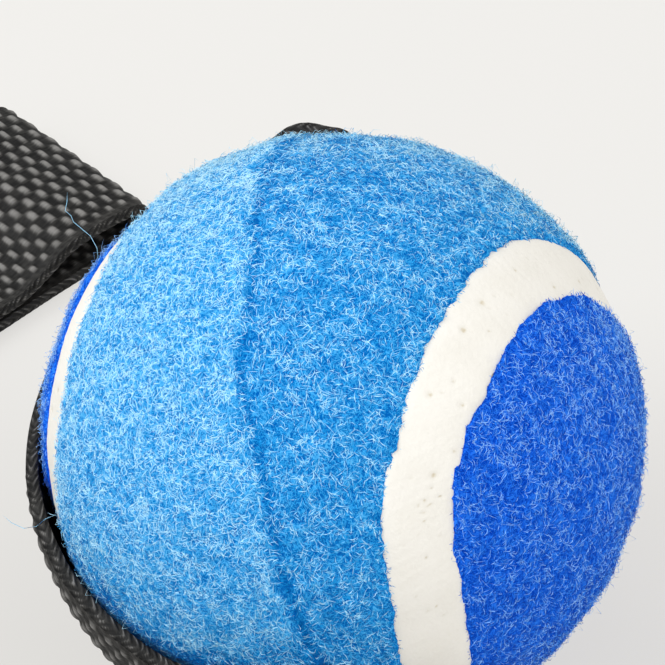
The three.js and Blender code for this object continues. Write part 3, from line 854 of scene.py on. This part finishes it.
# The wrap: out of the back slit, over a tight bend, round the left of the ball and out along the neck's
# left. It cups round the ball, by the depth of an arc as wide as the strap.
wrapLook = {
    "step": 0.24, "columns": 72, "from": 97.0, "to": 252.0, "count": 16, "cup": 1.1,
    "setFrom": 92.8, "setOver": 18.0, "cupFrom": (11, 9), "cupTo": (20, 14),
    "backBend": [(0, 26), (0.3, 30.0), (1.9, slitY - 1.4), (2.4, slitY - 0.8), (0.9, slitY + 0.25)],
    "frontBend": [(-4.2, 0.2), (-1, -2.6)], "neck": [0.8, 1.3, 1.8, neckCut, neckPast],
    "heights": (1, 0.4),
}


def wrapStations():
    turns = np.linspace(wrapLook["from"], wrapLook["to"], wrapLook["count"])

    def way(turn):
        latitude = wrapLatitude(turn)
        a = np.radians(turn)
        return np.stack([np.cos(latitude) * np.cos(a), np.cos(latitude) * np.sin(a), np.sin(latitude)], -1)

    outward = way(turns)
    across = unit(np.cross(outward, way(turns + 0.5) - way(turns - 0.5))) @ ballAxes.T
    settle = np.clip((turns - wrapLook["setFrom"]) / wrapLook["setOver"], 0, 1)
    bulge = strap["backBulge"] * (1 - eased(settle))
    places = toWorld(outward * (strapRadius + bulge)[:, None])
    stations = [ballStation(x, y) for x, y in wrapLook["backBend"]]
    stations += list(zip(places, across))
    beside = -2 * plyOffset
    stations += [ballStation(beside + x, -slitY + y) for x, y in wrapLook["frontBend"]]
    return stations + besideHandle(wrapLook["neck"], plyOffset)


wrapRoute = Route(wrapStations())
path = evenRows(wrapRoute, 0, wrapRoute.last - afterCut, wrapLook["step"])
run = path[3]
cupIn = np.clip((run - wrapLook["cupFrom"][0]) / wrapLook["cupFrom"][1], 0, 1)
cupOut = np.clip((run[-1] - run - wrapLook["cupTo"][0]) / wrapLook["cupTo"][1], 0, 1)
cup = -wrapLook["cup"] * strap["width"] ** 2 / (8 * strapRadius) * eased(cupIn * cupOut)
phase = handleAlong(neckCut) - run[-1]
wrapPiece = ribbon("strapWrap", path, phase, wrapLook["columns"], wrapLook["heights"], cup)
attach(wrapPiece, "ball")
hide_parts("strap_ball_wrap")

# The inner run: straight through the ball and out along the neck's right
innerLook = {
    "step": 0.5, "columns": 42, "start": 25.5, "heights": (0.6, 1), "neck": [0.6, 1, 1.8, neckCut, neckPast],
}
innerStations = [ballStation(0, y) for y in (innerLook["start"], 0, -slitY)]
innerRoute = Route(innerStations + besideHandle(innerLook["neck"], -plyOffset))
path = evenRows(innerRoute, 0, innerRoute.last - afterCut, innerLook["step"])
phase = handleAlong(neckCut) - path[3][-1]
innerPiece = ribbon("strapInner", path, phase, innerLook["columns"], innerLook["heights"])
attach(innerPiece, "ball")
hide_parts("strap_inner_run")
print("strap on the ball")

# Pieces of the handle, cut inside the stiff stretches. Those that cross a joint are shaped round its bend
# and baked in place; the loop's pieces ride the hand loop.
handleLook = {"step": 0.46, "columns": 46, "hidden": 0.35, "reach": 4.5}
nearTipLook = {"step": 0.3, "columns": 66}
handleCuts = {
    "neck": (neckCut, gripCut), "grip": (gripCut, eyeFrom),
    "loop": (eyeFrom, loopCut), "tip": (loopCut, tipCut),
}
crossing = {
    "neck": ("ball", "handle_root", neckBend),
    "grip": ("handle_root", "hand_loop", gripBend),
    "tip": ("hand_loop", "loop_tip", tipBend),
}
plyNodes = {
    "neckInner": "root_ply_inner", "neckOuter": "root_ply_outer",
    "loopInner": "loop_ply_inner", "loopOuter": "loop_ply_outer",
}


for part, (start, end) in handleCuts.items():
    look = nearTipLook if part == "tip" else handleLook
    for side, sign in (("Inner", 1), ("Outer", -1)):
        lift = (lambda where, s=sign: s * eyeLift(where))
        heights = (1, 1) if part == "loop" else (1, handleLook["hidden"])[::sign]
        path = evenRows(handle, start, end, look["step"], lift)
        piece = ribbon(part + side, path, handleAlong(start), look["columns"], heights)
        if part in crossing:
            bodyA, bodyB, station = crossing[part]
            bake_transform(piece)
        else:
            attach(piece, "hand_loop")
        if part + side in plyNodes:
            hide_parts(plyNodes[part + side])
print("handle")

# Tip: the strap's end folded back on itself, flat on the table. The fold is a half circle, set by its
# ends, its outermost point and the two points an eighth of a turn from that.
tipLook = {
    "step": 0.26, "columns": 80, "heights": (0.6, 1), "landing": 0.4, "eighth": (0.71, 0.29),
    "humpAt": 9.0, "slopeAt": 14.0, "closedAt": 17.5, "closedRise": 0.1,
}


def tipStations():
    at, along, normal, width = handle.frames([tipCut, tipBend])
    way = unit(np.array([along[1][0], along[1][1], 0]))
    gone = (at[0] - at[1]) @ way
    low = strap["floorClear"] + strap["thick"] / 2
    near = low + strap["thick"] + strap["gap"]
    high = low + strap["thick"] + strap["bightGap"]
    fold = (high - low) / 2
    foldAt = strap["bightLength"] - fold
    out, rise = (fold * share for share in tipLook["eighth"])
    places = [
        (gone, at[0][2] - plyOffset),
        (gone + tipLook["landing"] * (foldAt - gone), low),
        (foldAt, low),
        (foldAt + out, low + rise),
        (foldAt + fold, low + fold),
        (foldAt + out, high - rise),
        (foldAt, high),
        (foldAt - tipLook["humpAt"], high + strap["tipHump"]),
        (foldAt - tipLook["slopeAt"], (near + high) / 2),
        (foldAt - tipLook["closedAt"], near + tipLook["closedRise"]),
        (gone, at[0][2] + plyOffset),
    ]
    return [(np.array([*(at[1] + way * distance)[:2], height]), width[1]) for distance, height in places]


tipRoute = Route(tipStations())
path = evenRows(tipRoute, 0, tipRoute.last, tipLook["step"])
tipPiece = ribbon("strapTip", path, handleAlong(tipCut), tipLook["columns"], tipLook["heights"])
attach(tipPiece, "loop_tip")
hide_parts("strap_tip")
print("tip")

# Sewing: round thread, as tubes along short runs of points
threadLook = {"radius": 0.24, "sides": 6}


def tubes(name, paths):
    points, faces, tone = [], [], []
    total = 0
    turns = np.linspace(0, 2 * np.pi, threadLook["sides"], endpoint=False)
    for path in paths:
        along = unit(np.gradient(path, axis=0))
        side = unit(np.cross(along, guideFor(along)))
        top = np.cross(side, along)
        radii = np.full(len(path), threadLook["radius"])
        radii[[0, -1]] = 0
        ring = np.cos(turns)[None, :, None] * side[:, None] + np.sin(turns)[None, :, None] * top[:, None]
        ring = path[:, None] + radii[:, None, None] * ring
        rows, cols = ring.shape[:2]
        points.append(ring.reshape(-1, 3))
        faces.append(gridFaces(rows, cols, True) + total)
        twist = 0.5 + 0.35 * np.cos(turns[None, :] * 2 + np.arange(rows)[:, None] * 1.1)
        tone.append(twist.ravel())
        total += rows * cols
    points = np.concatenate(points)
    faces = facingOut(points, np.concatenate(faces))
    piece = makeMesh(name, points, faces, threadMaterial, np.concatenate(tone))
    return piece


def onHandle(where, across, lift):
    at, along, normal, width = handle.frames(where)
    return at + normal * lift[:, None] + width * across[:, None]


# A bar tack: slanted stitches side by side over the width of the bar, each sinking in at its ends
tackLook = {
    "stitches": 44, "length": 3.0, "span": 20.0, "stops": (0.0, 0.08, 0.3, 0.5, 0.7, 0.92, 1.0),
    "low": 0.05, "arch": 0.3, "atNeck": 1.9, "beforeEye": 0.2, "afterEye": 0.12,
}


def barTack(name, station, side, body, node):
    fine = np.linspace(station, station + 1, 400)
    end = np.interp(tackLook["length"], runLength(handle.frames(fine)[0]), fine)
    stitches = tackLook["stitches"]
    turns = np.arange(stitches + 1)
    where = station + (end - station) * (turns % 2)
    across = -tackLook["span"] / 2 + tackLook["span"] * (turns / stitches)
    f = np.array(tackLook["stops"])
    lift = side * (pairHalf + tackLook["low"] + tackLook["arch"] * np.sin(np.pi * f))
    paths = []
    for k in range(stitches):
        w = where[k] * (1 - f) + where[k + 1] * f
        s = across[k] * (1 - f) + across[k + 1] * f
        paths.append(onHandle(w, s, lift))
    piece = tubes(name, paths)
    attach(piece, body)
    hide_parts(node)


barTack("neckTackRight", tackLook["atNeck"], -1, "ball", "neck_tack_right")
barTack("neckTackLeft", tackLook["atNeck"], 1, "ball", "neck_tack_left")
for place, station in (("near", eyeFrom - tackLook["beforeEye"]), ("far", eyeTo + tackLook["afterEye"])):
    for side, sign in (("outer", -1), ("inner", 1)):
        name = f"eyeTack{place.title()}{side.title()}"
        barTack(name, station, sign, "hand_loop", f"eye_tack_{place}_{side}")


# A box stitch: a rectangle and its two diagonals in single stitches that dip at their ends
boxLook = {
    "from": neckBend + 0.75, "to": neckBend + 1.95, "half": 8.3, "stitch": 2.6,
    "stops": (0.06, 0.2, 0.4, 0.6, 0.8, 0.94), "low": 0.05, "arch": 0.24,
}


def boxStitch(name, side, node):
    start, end, half = boxLook["from"], boxLook["to"], boxLook["half"]
    corners = [(start, -half), (end, -half), (start, half), (end, half)]
    stops = np.array(boxLook["stops"])
    dip = boxLook["low"] + boxLook["arch"] * np.sin(np.pi * np.linspace(0, 1, len(stops)))
    lift = side * (pairHalf + dip)
    share = np.linspace(0, 1, 120)
    paths = []
    for a, b in ((0, 1), (2, 3), (0, 2), (1, 3), (0, 3), (2, 1)):
        w0, s0 = corners[a]
        w1, s1 = corners[b]
        line = onHandle(w0 + (w1 - w0) * share, s0 + (s1 - s0) * share, 0 * share)
        length = runLength(line)
        count = max(int(round(length[-1] / boxLook["stitch"])), 3)
        for k in range(count):
            at = np.interp((k + stops) / count * length[-1], length, share)
            paths.append(onHandle(w0 + (w1 - w0) * at, s0 + (s1 - s0) * at, lift))
    piece = tubes(name, paths)
    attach(piece, "handle_root")
    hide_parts(node)


boxStitch("boxStitchOuter", -1, "box_stitch_outer")
boxStitch("boxStitchInner", 1, "box_stitch_inner")
print("sewing")

# The core keeps its solids, in plain rubber
for name in ("core_left_half", "core_right_half", "core_cement_upper", "core_cement_lower"):
    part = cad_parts[name]
    part.data.materials.clear()
    part.data.materials.append(coreMaterial)

# Camera
lens = bpy.data.cameras.new("camera")
lens.sensor_width = camera["sensor"]
lens.lens = camera["focal"] / camera["picture"] * camera["sensor"]
lens.shift_x = -(camera["ballAt"][0] - camera["picture"] / 2) / camera["picture"]
lens.shift_y = (camera["ballAt"][1] - camera["picture"] / 2) / camera["picture"]
lens.clip_start = camera["nearest"]
eye = bpy.data.objects.new("camera", lens)
eye.location = Vector(inView((0, 0, camera["distance"])) + ballCentre) * mm
eye.rotation_euler = (math.radians(90 - camera["elevation"]), 0, 0)
scene.collection.objects.link(eye)
scene.camera = eye

# Table: pale, with painted shade that darkens it a little towards the front, and a soft trace of real shadow
table = {
    "size": 1500.0, "drop": 0.01, "front": (0.757, 0.744, 0.718), "back": (0.822, 0.810, 0.785),
    "reach": 0.055, "own": 0.78, "roughness": 0.9, "specular": 0.1,
}
corners = np.array([[-1, -1, 0], [1, -1, 0], [1, 1, 0], [-1, 1, 0]]) * table["size"] - [0, 0, table["drop"]]
material, tree, shader = newMaterial("table", table["roughness"])
floor = makeMesh("table", corners, [[0, 1, 2, 3]], material, smooth=False)
axes = newNode(tree, "SeparateXYZ", {0: newNode(tree, "TexCoord", {}).outputs["Object"]})
# Painted shade: the colour runs from the darker front to the paler back
depth = joined(tree, axes.outputs["Y"], table["reach"], "DIVIDE")
colour = ramped(tree, depth, [(0.0, table["front"]), (1.0, table["back"])])
fill(tree, shader, {"Base Color": colour, "Specular IOR Level": table["specular"]})
glow = newNode(tree, "Emission", {"Color": colour})
ray = newNode(tree, "LightPath", {}).outputs
seen = joined(tree, ray["Is Camera Ray"], ray["Is Glossy Ray"], "MAXIMUM")
seen = joined(tree, seen, ray["Is Transmission Ray"], "MAXIMUM")
own = joined(tree, seen, table["own"], "MULTIPLY")
mix = newNode(tree, "MixShader", {"Fac": own, 1: shader.outputs[0], 2: glow.outputs[0]})
fill(tree, tree.nodes["Material Output"], {"Surface": mix.outputs[0]})

# Light: a large soft window at the upper left, weaker ones at the right and low in front, and an even sky
lights = {
    "front": {"at": (-420, -420, 150), "size": 0.5, "power": 1.1, "colour": (1, 1, 1)},
    "key": {"at": (-410, -30, 560), "size": 0.4, "power": 2.8, "colour": (0.98, 0.99, 1)},
    "fill": {"at": (520, -180, 420), "size": 0.6, "power": 1.8, "colour": (1, 0.985, 0.96)},
}
lightAim = Vector((0, 0, 25))
skyLook = {"colour": (1, 0.995, 0.985, 1), "strength": 0.75}
for name, look in lights.items():
    lamp = bpy.data.lights.new(name, "AREA")
    lamp.size = look["size"]
    lamp.energy = look["power"]
    lamp.color = look["colour"]
    holder = bpy.data.objects.new(name, lamp)
    holder.location = Vector(look["at"]) * mm
    holder.rotation_euler = (lightAim - Vector(look["at"])).to_track_quat("-Z", "Y").to_euler()
    scene.collection.objects.link(holder)
sky = bpy.data.worlds.new("sky")
sky.use_nodes = True
backdrop = sky.node_tree.nodes["Background"].inputs
backdrop["Color"].default_value = skyLook["colour"]
backdrop["Strength"].default_value = skyLook["strength"]
scene.world = sky
scene.view_settings.view_transform = "Standard"
print("stage")
